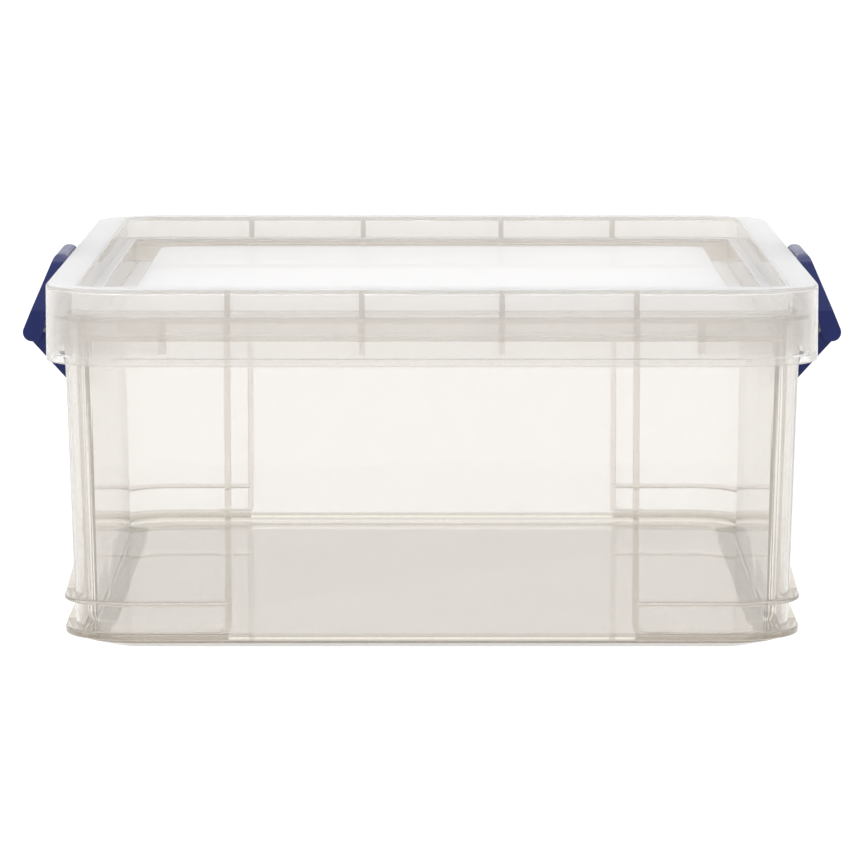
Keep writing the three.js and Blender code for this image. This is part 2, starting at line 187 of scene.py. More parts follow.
ARM_OUTER_EDGE = (218.6, 142.6)  # where each arm's lower edge meets the grip
ARM_GRIP = (CLIP_OUT - 4, 148.2)  # where the arm ends inside the grip
ARM_INNER_EDGE = (213.8, 149.2)  # and where its upper edge meets it
ARM_FLARE = 1.5  # the arm is this much wider past its eye
ARM_EDGE = 0.5

FAR = 2 * HALF_Y  # further out than anything in the box

# Plastic: absorption and scattering per metre, and how milky the sides and the flat tops are
LID_TINT = 30
LID_HAZE = 105
LID_MILK = 0.12
LID_FROST = 0.6
TUB_TINT = 52
TUB_HAZE = 60
TUB_MILK = 0.01
TUB_FROST = 0.03
PLASTIC_TINT = (0.5, 0.385, 0.24, 1)  # inside
SURFACE_TINT = (1, 0.998, 0.994, 1)  # on the walls
# painted shade round the floor's edge: a darker tint standing in for light lost in the thick foot
FOOT_PAINTED_SHADE = (0.75, 0.72, 0.66, 1)
# painted shade on the ledges and gussets: a darker tint standing in for light lost in the fins
FIN_PAINTED_SHADE = (0.78, 0.75, 0.69, 1)
MILK_THROUGH = (0.93, 0.935, 0.95, 1)  # light that the milky part lets through
MILK_ON_TOP = (0.9, 0.91, 0.94, 1)  # and light that it throws back
MILK_MIX = 0.6  # share of the light that it throws back
SHADOW_TINT = (0.93, 0.92, 0.9, 1)  # shadows are pale, as each surface lets this much through
NAVY_DARK = (0.002, 0.009, 0.11, 1)
NAVY_LIGHT = (0.003, 0.013, 0.135, 1)

# Studio and camera
FRONT_LIGHT = 0.9
BACK_LIGHT = 1.15
SIDE_LIGHT = 0.5
OVERHEAD = 1.5
OVERHEAD_TILT = 20  # degrees towards the back
OVERHEAD_SPREAD = 120  # degrees, for soft shadows
OVERHEAD_COLOUR = (0.95, 0.975, 1)
FLOOR_HALF = 30  # metres
FLOOR_DROP = 0.0002  # metres between the box and the floor
FLOOR_GREY = (0.5, 0.5, 0.5, 1)
FLOOR_GLOW = 1.3
FLOOR_GLOW_MIX = 0.8
LENS = 215.2
SENSOR = 36
CAMERA_PLACE = (0, -2.8714, 0.4277)
CAMERA_DOWN = 6.783  # degrees below level
BOUNCES = 24
CLEAR_BOUNCES = 64


# ---- shapes ------------------------------------------------------------------

def rounded(corners):
    """A closed outline through (x, y, radius, steps) corners, each turned into an arc."""
    outline = []
    for i, (x, y, radius, steps) in enumerate(corners):
        here = Vector((x, y))
        if radius <= 0:
            outline.append(here)
            continue
        before = (Vector(corners[i - 1][:2]) - here).normalized()
        after = (Vector(corners[(i + 1) % len(corners)][:2]) - here).normalized()
        half = before.angle(after) / 2
        centre = here + (before + after).normalized() * (radius / math.sin(half))
        start = here + before * (radius / math.tan(half)) - centre
        end = here + after * (radius / math.tan(half)) - centre
        turns = [start.slerp(end, step / steps).normalized() for step in range(steps + 1)]
        outline += [centre + turn * radius for turn in turns]
    return outline


def profile(points):
    """A line or an outline through (across, up, radius) points, with small roundings."""
    return rounded([(x, z, radius, FILLET_STEPS) for x, z, radius in points])


def rectangle(x, y, radius):
    """A rectangle with round corners, centred on the origin."""
    signs = ((1, -1), (1, 1), (-1, 1), (-1, -1))
    return rounded([(sx * x, sy * y, radius, CORNER_STEPS) for sx, sy in signs])


def at_height(outline, z):
    return [(p[0], p[1], z) for p in outline]


def skin(name, rings):
    """A closed object over rings of points, flat at both ends."""
    size = len(rings[0])
    points = [Vector(p) * MM for ring in rings for p in ring]
    faces = []
    for level in range(len(rings) - 1):
        here, above = level * size, (level + 1) * size
        for i in range(size):
            j = (i + 1) % size
            faces.append((here + i, here + j, above + j, above + i))
    last = (len(rings) - 1) * size
    faces.append(tuple(reversed(range(size))))
    faces.append(tuple(range(last, last + size)))
    mesh = bpy.data.meshes.new(name)
    mesh.from_pydata(points, [], faces)
    with_outward_faces(mesh)
    piece = bpy.data.objects.new(name, mesh)
    bpy.context.scene.collection.objects.link(piece)
    return piece


def with_outward_faces(mesh):
    shape = bmesh.new()
    shape.from_mesh(mesh)
    bmesh.ops.remove_doubles(shape, verts=shape.verts, dist=WELD)
    bmesh.ops.recalc_face_normals(shape, faces=shape.faces)
    shape.to_mesh(mesh)
    shape.free()


def block(low, high):
    """A plain box, used only to cut with."""
    outline = [(low[0], low[1]), (high[0], low[1]), (high[0], high[1]), (low[0], high[1])]
    return skin("block", [at_height(outline, low[2]), at_height(outline, high[2])])


def along_y(outline, from_y, to_y):
    """An outline of (x, z) drawn out along Y."""
    return skin("bar", [[(p[0], y, p[1]) for p in outline] for y in (from_y, to_y)])


def soft_along_y(outline, from_y, to_y, edge):
    """The same, with its two ends rounded off by shrinking the outline towards its middle."""
    middle = sum((Vector(p[:2]) for p in outline), Vector((0, 0))) / len(outline)
    reach = max((Vector(p[:2]) - middle).length for p in outline)
    rings = []
    for end, sign in ((from_y, 1), (to_y, -1)):
        ends = []
        for step in range(FILLET_STEPS + 1):
            turn = step / FILLET_STEPS * math.pi / 2
            scale = 1 - edge * (1 - math.sin(turn)) / reach
            y = end + sign * edge * (1 - math.cos(turn))
            ends.append([(*(middle + (p - middle) * scale), y) for p in outline])
        rings += ends if sign > 0 else reversed(ends)
    return skin("bar", [[(x, y, z) for x, z, y in ring] for ring in rings])


def circle(x, z, radius):
    turns = [2 * math.pi * step / CIRCLE_STEPS for step in range(CIRCLE_STEPS)]
    return [Vector((x + radius * math.cos(turn), z + radius * math.sin(turn))) for turn in turns]


def together(pieces):
    """Objects that don't touch each other, as one object."""
    shape = bmesh.new()
    for piece in pieces:
        shape.from_mesh(piece.data)
    mesh = bpy.data.meshes.new("together")
    shape.to_mesh(mesh)
    shape.free()
    for piece in pieces:
        discard(piece)
    whole = bpy.data.objects.new("together", mesh)
    bpy.context.scene.collection.objects.link(whole)
    return whole


def discard(piece):
    mesh = piece.data
    bpy.data.objects.remove(piece)
    bpy.data.meshes.remove(mesh)


def evaluated(piece):
    """The piece with its modifiers worked into its mesh."""
    depsgraph = bpy.context.evaluated_depsgraph_get()
    mesh = bpy.data.meshes.new_from_object(piece.evaluated_get(depsgraph))
    piece.modifiers.clear()
    old = piece.data
    piece.data = mesh
    bpy.data.meshes.remove(old)
    return piece


def combine(piece, operation, tool):
    modifier = piece.modifiers.new(operation, "BOOLEAN")
    modifier.operation = operation
    modifier.solver = "MANIFOLD"
    modifier.object = tool
    evaluated(piece)
    discard(tool)
    return piece


def join(piece, tool):
    return combine(piece, "UNION", tool)


def cut(piece, tool):
    return combine(piece, "DIFFERENCE", tool)


def common(piece, tool):
    return combine(piece, "INTERSECT", tool)


def mirrored(piece, axis=0):
    """A copy of the piece on the other side of the box, across X or Y."""
    mesh = piece.data.copy()
    for vertex in mesh.vertices:
        vertex.co[axis] = -vertex.co[axis]
    mesh.flip_normals()
    twin = bpy.data.objects.new(piece.name, mesh)
    bpy.context.scene.collection.objects.link(twin)
    return twin


def both_sides(piece):
    return together([mirrored(piece), piece])


def bevelled(piece, width, sharper_than):
    modifier = piece.modifiers.new("soft_edges", "BEVEL")
    modifier.width = width * MM
    modifier.segments = BEVEL_STEPS
    modifier.limit_method = "ANGLE"
    modifier.angle_limit = math.radians(sharper_than)
    return evaluated(piece)


def finished(piece, name, body, material):
    """Smooth shading, a material, and the body that the piece rides on."""
    piece.name = name
    piece.data.name = name
    piece.data.shade_smooth()
    piece.data.set_sharp_from_angle(angle=math.radians(SMOOTH_BELOW))
    normals = piece.modifiers.new("flat_faces_stay_flat", "WEIGHTED_NORMAL")
    normals.keep_sharp = True
    piece.data.materials.clear()
    piece.data.materials.append(material)
    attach(piece, body)
    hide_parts(body)
    return piece


# ---- lid ---------------------------------------------------------------------

def lid_outline(inset):
    """The lid's outline moved in, with the corners of the skirt, the recess or the panel."""
    panel = (PANEL_HALF_X + PANEL_DRAFT, PANEL_HALF_Y + PANEL_DRAFT, PANEL_CORNER + PANEL_DRAFT)
    recess_radius = RECESS_CORNER + FLANGE_WIDTH
    if inset <= STEP_INSET:
        part = min(max((inset - LID_WALL) / (FLANGE_WIDTH - 3 * LID_WALL), 0), 1)
        radius = LID_CORNER + (recess_radius - LID_CORNER) * part - inset
        return rectangle(HALF_X - inset, HALF_Y - inset, radius)
    if inset >= PANEL_FOOT:
        more = inset - PANEL_FOOT
        return rectangle(panel[0] - more, panel[1] - more, panel[2] - more)
    step = (HALF_X - STEP_INSET, HALF_Y - STEP_INSET, recess_radius - STEP_INSET)
    part = (inset - STEP_INSET) / (PANEL_FOOT - STEP_INSET)
    return rectangle(*(a + (b - a) * part for a, b in zip(step, panel)))


def lid_shell_shape():
    """One skin from the underside of the panel, round the skirt, to the top of the panel."""
    ledge_bottom = LEDGE_TOP - LEDGE_THICKNESS
    step_bottom = STEP_TOP - STEP_THICKNESS
    middle = PANEL_FOOT + PANEL_DRAFT + PANEL_RING
    section = [
        (middle, PANEL_TOP - LID_WALL, 0),
        (PANEL_FOOT + PANEL_DRAFT + LID_WALL, PANEL_TOP - LID_WALL, 0.8),
        (PANEL_FOOT + LID_WALL, ledge_bottom, 1.2),
        (STEP_INSET - LID_WALL, ledge_bottom, 1.6),
        (STEP_INSET - LID_WALL, step_bottom, 0.8),
        (FLANGE_WIDTH - LID_WALL, step_bottom, 1.2),
        (FLANGE_WIDTH - LID_WALL, HEIGHT - LID_WALL, 0.8),
        (LID_WALL, HEIGHT - LID_WALL, 1.2),
        (LID_WALL, LIP_TOP, 0.6),
        (LIP_THICKNESS, LIP_TOP - LIP_SLOPE, 0.4),
        (LIP_THICKNESS, SKIRT_BOTTOM, 0.7),
        (0, SKIRT_BOTTOM, 0.7),
        (0, HEIGHT, 2.0),
        (FLANGE_WIDTH, HEIGHT, 1.4),
        (FLANGE_WIDTH, STEP_TOP, 0.8),
        (STEP_INSET, STEP_TOP, 1.2),
        (STEP_INSET, LEDGE_TOP, 1.6),
        (PANEL_FOOT, LEDGE_TOP, 1.6),
        (PANEL_FOOT + PANEL_DRAFT, PANEL_TOP, 1.6),
        (middle, PANEL_TOP, 0),
    ]
    rings = [at_height(lid_outline(inset), z) for inset, z in profile(section)]
    return skin("lid", rings)


def lid_webs():
    """Thin webs between the skirt and the upper wall of the recess."""
    bottom = STEP_TOP - STEP_THICKNESS
    inner = HALF_Y - FLANGE_WIDTH - LID_WALL / 2
    outer = HALF_Y - LID_WALL / 2
    top = HEIGHT - LID_WALL / 2
    half = WEB_THICKNESS / 2
    webs = []
    for side, places in ((-1, LID_WEBS_FRONT), (1, LID_WEBS_BACK)):
        low, high = sorted((side * inner, side * outer))
        for place in places:
            for x in (-place, place):
                webs.append(block((x - half, low, bottom), (x + half, high, top)))
    return together(webs)


def catch_rail():
    """The rail on the right side of the skirt that the clip's nose sits over."""
    inner = HALF_X - LID_WALL / 2
    section = profile([
        (inner, RAIL_FOOT, 0),
        (HALF_X, RAIL_FOOT, 0),
        (HALF_X + RAIL_PROUD, RAIL_BOTTOM, 0.8),
        (HALF_X + RAIL_PROUD, RAIL_TOP, 0.6),
        (inner, RAIL_TOP, 0),
    ])
    return soft_along_y(section, -RAIL_HALF, RAIL_HALF, RAIL_END)


def lid():
    shape = join(lid_shell_shape(), lid_webs())
    return join(shape, both_sides(catch_rail()))


# ---- tub ---------------------------------------------------------------------

def tub_outline(z, out, wall=0.0):
    """The tub's outline at a height, with its recessed sides, moved out, and in by the wall."""
    half = TUB_FOOT + TUB_DRAFT * z + out - wall
    radius = TUB_CORNER_FOOT + TUB_DRAFT * z + out * CORNER_FOLLOWS - wall
    recess = min(SIDE_FOOT + SIDE_DRAFT * z + out * SIDE_FOLLOWS - wall, half - SIDE_LEAST)
    end = SIDE_END + wall
    most = SIDE_ROUND_SHARE * (half - recess)
    outer = min(SIDE_ROUND_OUTER - wall, most)
    inner = min(SIDE_ROUND_INNER + wall, most)
    y = half + LENGTH_MORE
    right = [
        (half, -y, radius, CORNER_STEPS),
        (half, -end, outer, FILLET_STEPS),
        (recess, -end, inner, FILLET_STEPS),
        (recess, end, inner, FILLET_STEPS),
        (half, end, outer, FILLET_STEPS),
        (half, y, radius, CORNER_STEPS),
    ]
    left = [(-x, y, r, steps) for x, y, r, steps in reversed(right)]
    return rounded(right + left)


def tub_outside():
    foot = profile([
        (-FOOT_RING, 0, 0), *((-x, z, radius) for x, z, radius in FOOT), (0, RIM_BOTTOM + EXTRA, 0),
    ])
    return skin("tub", [at_height(tub_outline(z, out), z) for out, z in foot])


def tub_inside():
    hollow = profile([
        (-FOOT_RING, FLOOR_TOP, 0),
        (0, FLOOR_TOP, INNER_FOOT),
        (0, RIM_TOP - MOUTH_FLARE, 2),
        (MOUTH_FLARE, RIM_TOP + MOUTH_FLARE / 2, 0),
        (MOUTH_FLARE, RIM_TOP + 2 * EXTRA, 0),
    ])
    return skin("inside", [at_height(tub_outline(z, out, TUB_WALL), z) for out, z in hollow])


def plain_tub_outline(z, out):
    """The same outline without the recessed sides."""
    half = TUB_FOOT + TUB_DRAFT * z + out
    return rectangle(half, half + LENGTH_MORE, TUB_CORNER_FOOT + TUB_DRAFT * z + out)


def corners_of(piece, past_x, past_front, past_back):
    """The part of a piece that lies in the four corners of the box."""
    corners = []
    for sign in (-1, 1):
        low, high = sorted((sign * past_x, sign * FAR))
        corners.append(block((low, -FAR, 0), (high, -past_front, HEIGHT)))
        corners.append(block((low, past_back, 0), (high, FAR, HEIGHT)))
    return common(piece, together(corners))


def ledge_gusset(bottom, top, gusset_top):
    """A triangle on the right side wall that stands on the end of a ledge."""
    foot = TUB_FOOT + TUB_DRAFT * bottom
    inside = foot - TUB_WALL / 2
    outline = profile([
        (inside, bottom, 0),
        (foot + LEDGE_PROUD, bottom, 0.8),
        (foot + LEDGE_PROUD, top, 2.5),
        (TUB_FOOT + TUB_DRAFT * gusset_top + GUSSET_TIP, gusset_top, 0),
        (inside, gusset_top, 0),
    ])
    return soft_along_y(outline, LEDGE_END, LEDGE_END + GUSSET_THICKNESS, GUSSET_EDGE)


def ledge(bottom, top, past_x, past_front, past_back):
    """A flange round the tub, as far as it wraps round one pair of corners."""
    section = profile([
        (-EXTRA, bottom, 0),
        (LEDGE_PROUD, bottom, LEDGE_EDGE),
        (LEDGE_PROUD, top, LEDGE_EDGE),
        (-EXTRA, top, 0),
    ])
    ring = skin("ledge", [at_height(plain_tub_outline(z, out), z) for out, z in section])
    return corners_of(ring, past_x, past_front, past_back)


def corner_ledges():
    """Ledges wrap round each corner, from a rib to a gusset on the side wall."""
    rings, gussets = [], []
    for bottom, top, gusset_top in LEDGES:
        rings.append(ledge(bottom, top, TUB_RIBS[-1], LEDGE_END, HALF_Y))
        rings.append(ledge(bottom, top, TUB_RIBS[1], HALF_Y, LEDGE_END))
        right = ledge_gusset(bottom, top, gusset_top)
        gussets.append(both_sides(together([right, mirrored(right, 1)])))
    return together(rings), together(gussets)


def frame_y(z):
    """How far out the ribs on the front and back stand at a height."""
    foot = TUB_FOOT + FRAME_PROUD
    rise = (RIM_HALF - foot) / (RIM_BOTTOM - FRAME_FOOT_Z)
    return LENGTH_MORE + foot + rise * (z - FRAME_FOOT_Z)


def rib(path, side, thickness):
    """A rib on the front (side -1) or back (side 1), along a path of (x, z) points."""
    rings = []
    for i, (x, z) in enumerate(path):
        before, after = path[max(i - 1, 0)], path[min(i + 1, len(path) - 1)]
        along = Vector((after[0] - before[0], after[1] - before[1])).normalized()
        across = Vector((along.y, -along.x)) * thickness / 2
        section = rounded([
            (-1, -RIB_ROOT, 0, 1), (1, -RIB_ROOT, 0, 1),
            (1, 0, RIB_EDGE, RIB_STEPS), (-1, 0, RIB_EDGE, RIB_STEPS),
        ])
        face = frame_y(z)
        rings.append([
            (x + across.x * p[0], side * (face + p[1]), z + across.y * p[0]) for p in section
        ])
    return skin("rib", rings)


def bent_rib_path(x, top):
    """Down from the rim, then round into the lower ledge, towards the corner of the box."""
    path = [(x, top)]
    outward = math.copysign(1, x)
    for step in range(CURVE_STEPS + 1):
        turn = step / CURVE_STEPS * math.pi / 2
        across = x + outward * RIB_BEND * (1 - math.cos(turn))
        path.append((across, LEDGE_LINE + RIB_BEND * (1 - math.sin(turn))))
    path.append((x + outward * 3 * RIB_BEND, LEDGE_LINE))
    return path


def tub_ribs():
    """Long ribs to the ledges, short ones under the rim, and one at the start of each apron."""
    ribs = []
    top = RIM_BOTTOM + EXTRA
    for side in (-1, 1):
        for sign in (-1, 1):
            ribs.append(rib(bent_rib_path(sign * TUB_RIBS[side], top), side, RIB_THICKNESS))
            short = sign * GUSSETS[side]
            ribs.append(rib([(short, APRON_BOTTOM), (short, top)], side, RIB_THICKNESS))
            gusset = sign * APRON_START
            ribs.append(rib([(gusset, APRON_BOTTOM), (gusset, top)], side, APRON_GUSSET))
    return together(ribs)


def rim_outline(inset):
    half = RIM_HALF - inset
    return rectangle(half, half + LENGTH_MORE, RIM_CORNER - inset)


def rim():
    section = profile([
        (RIM_REACH, RIM_BOTTOM, 0),
        (0, RIM_BOTTOM, RIM_ROUND),
        (0, RIM_TOP, RIM_ROUND),
        (RIM_REACH, RIM_TOP, 0),
    ])
    return skin("rim", [at_height(rim_outline(inset), z) for inset, z in section])


def corner_aprons():
    """Skirts that hang from the rim at the four corners."""
    rings = [at_height(rim_outline(0), z) for z in (APRON_BOTTOM, RIM_BOTTOM + EXTRA)]
    hollow = [at_height(rim_outline(APRON_THICKNESS), z) for z in (APRON_BOTTOM - EXTRA, RIM_TOP)]
    ring = cut(skin("apron", rings), skin("hollow", hollow))
    start_y = APRON_START + LENGTH_MORE
    return corners_of(ring, APRON_START, start_y, start_y)


def clip_lugs():
    """Two pairs of lugs on the right side, each pair with the pin that an eye turns on."""
    root = SIDE_FOOT + SIDE_DRAFT * PIVOT_Z - TUB_WALL / 2
    out = PIVOT_OUT + LUG_RADIUS
    nearly_round = LUG_RADIUS - 0.2
    lug = rounded([
        (root, PIVOT_Z - LUG_ROOT, 0, 1),
        (out, PIVOT_Z - LUG_RADIUS, nearly_round, CURVE_STEPS),
        (out, PIVOT_Z + LUG_RADIUS, nearly_round, CURVE_STEPS),
        (root, PIVOT_Z + LUG_ROOT, 0, 1),
    ])
    near = ARM_INNER - LUG_GAP - LUG_THICKNESS
    far = ARM_OUTER + LUG_GAP
    pieces = []
    for side in (-1, 1):
        pair = []
        for start in (near, far):
            faces = sorted((side * start, side * (start + LUG_THICKNESS)))
            pair.append(soft_along_y(lug, *faces, LUG_EDGE))
        ends = sorted((side * (near + EXTRA), side * (far + LUG_THICKNESS - EXTRA)))
        pin = along_y(circle(PIVOT_OUT, PIVOT_Z, PIN_RADIUS), *ends)
        pieces.append(join(together(pair), pin))
    return both_sides(together(pieces))


def tub():
    shape = tub_outside()
    for part in (*corner_ledges(), tub_ribs(), rim(), corner_aprons()):
        shape = join(shape, part)
    shape = cut(shape, tub_inside())
    return join(shape, clip_lugs())


# ---- clip handles ------------------------------------------------------------

def clip_plate():
    """The section of the right clip: grip at the bottom, plate, crest and nose."""
    nose_bottom = RAIL_TOP + NOSE_GAP
    section = rounded([
        (*GRIP_HEEL[0], 0.8, FILLET_STEPS),
        (*GRIP_HEEL[1], 1.5, FILLET_STEPS),
        (*GRIP_CORNER, GRIP_RADIUS, GRIP_STEPS),
        (CREST_OUT, HEIGHT, 4, GRIP_STEPS),
        (NOSE, HEIGHT, 3, GRIP_STEPS),
        (NOSE, nose_bottom, 0.5, FILLET_STEPS),
        (NOSE + NOSE_DEPTH, nose_bottom, 0.3, FILLET_STEPS),
        (*PLATE_INNER, 1.5, FILLET_STEPS),
    ])
    return along_y(section, -CLIP_HALF, CLIP_HALF)


def clip_front():
    """The clip seen from its side: straight ends at the grip, narrower towards the crest."""
    edge = CLIP_HALF + EXTRA / 2
    top = HEIGHT + EXTRA
    right = [
        (edge, PIVOT_Z - 2 * EYE_RADIUS, 0, 1),
        (edge, SHOULDER_Z, 6, CURVE_STEPS),
        (CREST_HALF + EXTRA, top - SHOULDER_DROP, 7, CURVE_STEPS),
        (CREST_FLAT, top, 8, CURVE_STEPS),
    ]
    left = [(-y, z, radius, steps) for y, z, radius, steps in reversed(right)]
    outline = rounded(right + left)
    return skin("front", [[(x, p[0], p[1]) for p in outline] for x in (0, FAR)])


def clip_hollow(half):
    return along_y(profile(HOLLOW), -half, half)


def clip_arms():
    """Two arms from the grip to the eyes that snap over the pins."""
    reach = EYE_RADIUS * math.sqrt(0.5)
    section = profile([
        (PIVOT_OUT + reach, PIVOT_Z - reach, 0),
        (*ARM_OUTER_EDGE, 1.5),
        (*ARM_GRIP, 0),
        (*ARM_INNER_EDGE, 0.8),
        (PIVOT_OUT - reach + ARM_FLARE, PIVOT_Z + reach + ARM_FLARE, 0),
        (PIVOT_OUT - reach, PIVOT_Z + reach, 0),
    ])
    arms = []
    for side in (-1, 1):
        low, high = sorted((side * ARM_INNER, side * ARM_OUTER))
        eye = along_y(circle(PIVOT_OUT, PIVOT_Z, EYE_RADIUS), low, high)
        arm = join(eye, along_y(section, low, high))
        cut(arm, along_y(circle(PIVOT_OUT, PIVOT_Z, BORE_RADIUS), low - EXTRA, high + EXTRA))
        slot_low = (PIVOT_OUT - 2 * EYE_RADIUS, low - EXTRA, PIVOT_Z - EYE_SLOT / 2)
        slot_high = (PIVOT_OUT, high + EXTRA, PIVOT_Z + EYE_SLOT / 2)
        cut(arm, block(slot_low, slot_high))
        arms.append(bevelled(arm, ARM_EDGE, sharper_than=40))
    return together(arms)


def right_clip():
    shape = bevelled(common(clip_plate(), clip_front()), CLIP_EDGE, sharper_than=35)
    low_part = block((0, -FAR, 0), (FAR, FAR, SHOULDER_Z + CLIP_WALL))
    cut(shape, common(clip_hollow(CLIP_HALF - CHEEK), low_part))
    cut(shape, clip_hollow(CREST_HALF))
    return join(shape, clip_arms())


# ---- materials ---------------------------------------------------------------

def new_material(name):
    material = bpy.data.materials.new(name)
    material.use_nodes = True
    tree = material.node_tree
    tree.nodes.clear()
    return material, tree


def add(tree, kind, **values):
    """A node of one kind, with values set on its inputs by name or number."""
    node = tree.nodes.new(kind)
    for key, value in values.items():
        node.inputs[key.replace("_", " ")].default_value = value
    return node


def noise(tree, scale, detail):
    coordinates = tree.nodes.new("ShaderNodeTexCoord")
    texture = add(tree, "ShaderNodeTexNoise", Scale=scale, Detail=detail)
    tree.links.new(coordinates.outputs["Object"], texture.inputs["Vector"])
    return texture.outputs["Fac"]


def ramp(tree, value, given, wanted):
    """A value moved from one range of numbers to another."""
    node = tree.nodes.new("ShaderNodeMapRange")
    node.inputs["From Min"].default_value = given[0]
    node.inputs["From Max"].default_value = given[1]
    node.inputs["To Min"].default_value = wanted[0]
    node.inputs["To Max"].default_value = wanted[1]
    tree.links.new(value, node.inputs["Value"])
    return node.outputs["Result"]


def calculated(tree, operation, *values):
    """The result of a math node on values, each one a socket or a number."""
    node = tree.nodes.new("ShaderNodeMath")
    node.operation = operation
    for socket, value in zip(node.inputs, values):
        if isinstance(value, bpy.types.NodeSocket):
            tree.links.new(value, socket)
        else:
            socket.default_value = value
    return node.outputs[0]


def spread(tree, value, low, high):
    """A noise value spread between two numbers."""
    return ramp(tree, value, (0.3, 0.7), (low, high))


def bumps(tree, layers):
    """Bump from (height, strength, distance) layers, one over the other."""
    normal = None
    for height, strength, distance in layers:
        node = add(tree, "ShaderNodeBump", Strength=strength, Distance=distance)
        tree.links.new(height, node.inputs["Height"])
        if normal:
            tree.links.new(normal, node.inputs["Normal"])
        normal = node.outputs["Normal"]
    return normal


def tint_with_painted_shade(tree):
    """The plastic's tint, with painted shade where light has come a long way: darker round the foot
    and on the fins.
    """
    coordinates = tree.nodes.new("ShaderNodeTexCoord")
    place = tree.nodes.new("ShaderNodeSeparateXYZ")
    tree.links.new(coordinates.outputs["Object"], place.inputs[0])
    foot = mixed(tree, painted_shade_round_the_foot(tree, place), SURFACE_TINT, FOOT_PAINTED_SHADE)
    return mixed(tree, painted_shade_on_the_fins(tree, place), foot, FIN_PAINTED_SHADE)


def painted_shade_round_the_foot(tree, place):
    """1 in a band round the floor's edge, but not on the floor's own two faces: where shade is
    painted.
    """
    height = place.outputs["Z"]
    from_floor = calculated(tree, "SUBTRACT", height, FLOOR_TOP * MM)
    above = fade(tree, height, 0.2, 0.8)
    below = fade(tree, height, 10, 8)
    beside = fade(tree, calculated(tree, "ABSOLUTE", from_floor), 0.1, 0.3)
    return calculated(tree, "MULTIPLY", calculated(tree, "MULTIPLY", above, below), beside)


def painted_shade_on_the_fins(tree, place):
    """1 on the ledges and gussets that stand out from the tub's sides: where shade is painted."""
    height = place.outputs["Z"]
    sideways = calculated(tree, "ABSOLUTE", place.outputs["X"])
    wall = calculated(tree, "MULTIPLY_ADD", height, TUB_DRAFT, TUB_FOOT * MM)
    proud = fade(tree, calculated(tree, "SUBTRACT", sideways, wall), 0.3, 0.9)
    fin_top = LEDGES[-1][-1]
    return calculated(tree, "MULTIPLY", proud, fade(tree, height, fin_top + 2, fin_top))


def fade(tree, distance, none, full):
    """0 to 1 as a distance goes between two values, given in millimetres."""
    low, high = sorted((none, full))
    levels = (0, 1) if none < full else (1, 0)
    return ramp(tree, distance, (low * MM, high * MM), levels)


def mixed(tree, amount, first, second):
    """A colour between two, each a socket or four numbers."""
    node = tree.nodes.new("ShaderNodeMix")
    node.data_type = "RGBA"
    for name, colour in (("A", first), ("B", second)):
        if isinstance(colour, bpy.types.NodeSocket):
            tree.links.new(colour, node.inputs[name])
        else:
            node.inputs[name].default_value = colour
    tree.links.new(amount, node.inputs["Factor"])
    return node.outputs["Result"]


def clear_plastic(name, tint, haze, milkiness, frost):
    """Milky clear polypropylene, which lets light through and is cloudier on flat tops."""
    material, tree = new_material(name)
    link = tree.links.new
    flow = noise(tree, 7, 1)
    grain = noise(tree, 900, 2)
    normal = bumps(tree, [(flow, 0.02, 0.001), (grain, 0.01, 0.0001)])

    glass = add(tree, "ShaderNodeBsdfPrincipled", IOR=1.49, Transmission_Weight=1.0)
    link(tint_with_painted_shade(tree), glass.inputs["Base Color"])
    link(spread(tree, flow, 0.015, 0.03), glass.inputs["Roughness"])
    link(normal, glass.inputs["Normal"])

    scatter = add(tree, "ShaderNodeBsdfTranslucent")
    scatter.inputs["Color"].default_value = MILK_THROUGH
    sheen = add(tree, "ShaderNodeBsdfDiffuse")
    sheen.inputs["Color"].default_value = MILK_ON_TOP
    milk = tree.nodes.new("ShaderNodeMixShader")
    milk.inputs["Fac"].default_value = MILK_MIX
    link(scatter.outputs[0], milk.inputs[1])
    link(sheen.outputs[0], milk.inputs[2])
    body = tree.nodes.new("ShaderNodeMixShader")
    facing = tree.nodes.new("ShaderNodeSeparateXYZ")
    link(tree.nodes.new("ShaderNodeNewGeometry").outputs["Normal"], facing.inputs[0])
    tops = ramp(tree, facing.outputs["Z"], (0.6, 0.95), (milkiness, frost))
    cloudy = calculated(tree, "MULTIPLY", tops, spread(tree, noise(tree, 4, 4), 0.95, 1.05))
    link(cloudy, body.inputs["Fac"])
    link(glass.outputs[0], body.inputs[1])
    link(milk.outputs[0], body.inputs[2])

    rays = tree.nodes.new("ShaderNodeLightPath")
    clear = add(tree, "ShaderNodeBsdfTransparent")
    clear.inputs["Color"].default_value = SHADOW_TINT
    shown = tree.nodes.new("ShaderNodeMixShader")
    link(rays.outputs["Is Shadow Ray"], shown.inputs["Fac"])
    link(body.outputs[0], shown.inputs[1])
    link(clear.outputs[0], shown.inputs[2])

    depth = add(tree, "ShaderNodeVolumeAbsorption", Density=tint)
    depth.inputs["Color"].default_value = PLASTIC_TINT
    cloud = add(tree, "ShaderNodeVolumeScatter", Density=haze, Anisotropy=0.3)
    inside = tree.nodes.new("ShaderNodeAddShader")
    link(depth.outputs[0], inside.inputs[0])
    link(cloud.outputs[0], inside.inputs[1])
    output = tree.nodes.new("ShaderNodeOutputMaterial")
    link(shown.outputs[0], output.inputs["Surface"])
    link(inside.outputs[0], output.inputs["Volume"])
    return material


def navy_plastic():
    """Navy moulded plastic with a fine satin grain."""
    material, tree = new_material("navy_plastic")
    link = tree.links.new
    cloud = noise(tree, 25, 3)
    grain = noise(tree, 1400, 2)
    shader = add(tree, "ShaderNodeBsdfPrincipled", IOR=1.5, Specular_IOR_Level=0.35)
    link(mixed(tree, cloud, NAVY_DARK, NAVY_LIGHT), shader.inputs["Base Color"])
    link(spread(tree, cloud, 0.3, 0.38), shader.inputs["Roughness"])
    link(bumps(tree, [(cloud, 0.05, 0.001), (grain, 0.12, 0.0001)]), shader.inputs["Normal"])
    output = tree.nodes.new("ShaderNodeOutputMaterial")
    link(shader.outputs[0], output.inputs["Surface"])
    return material


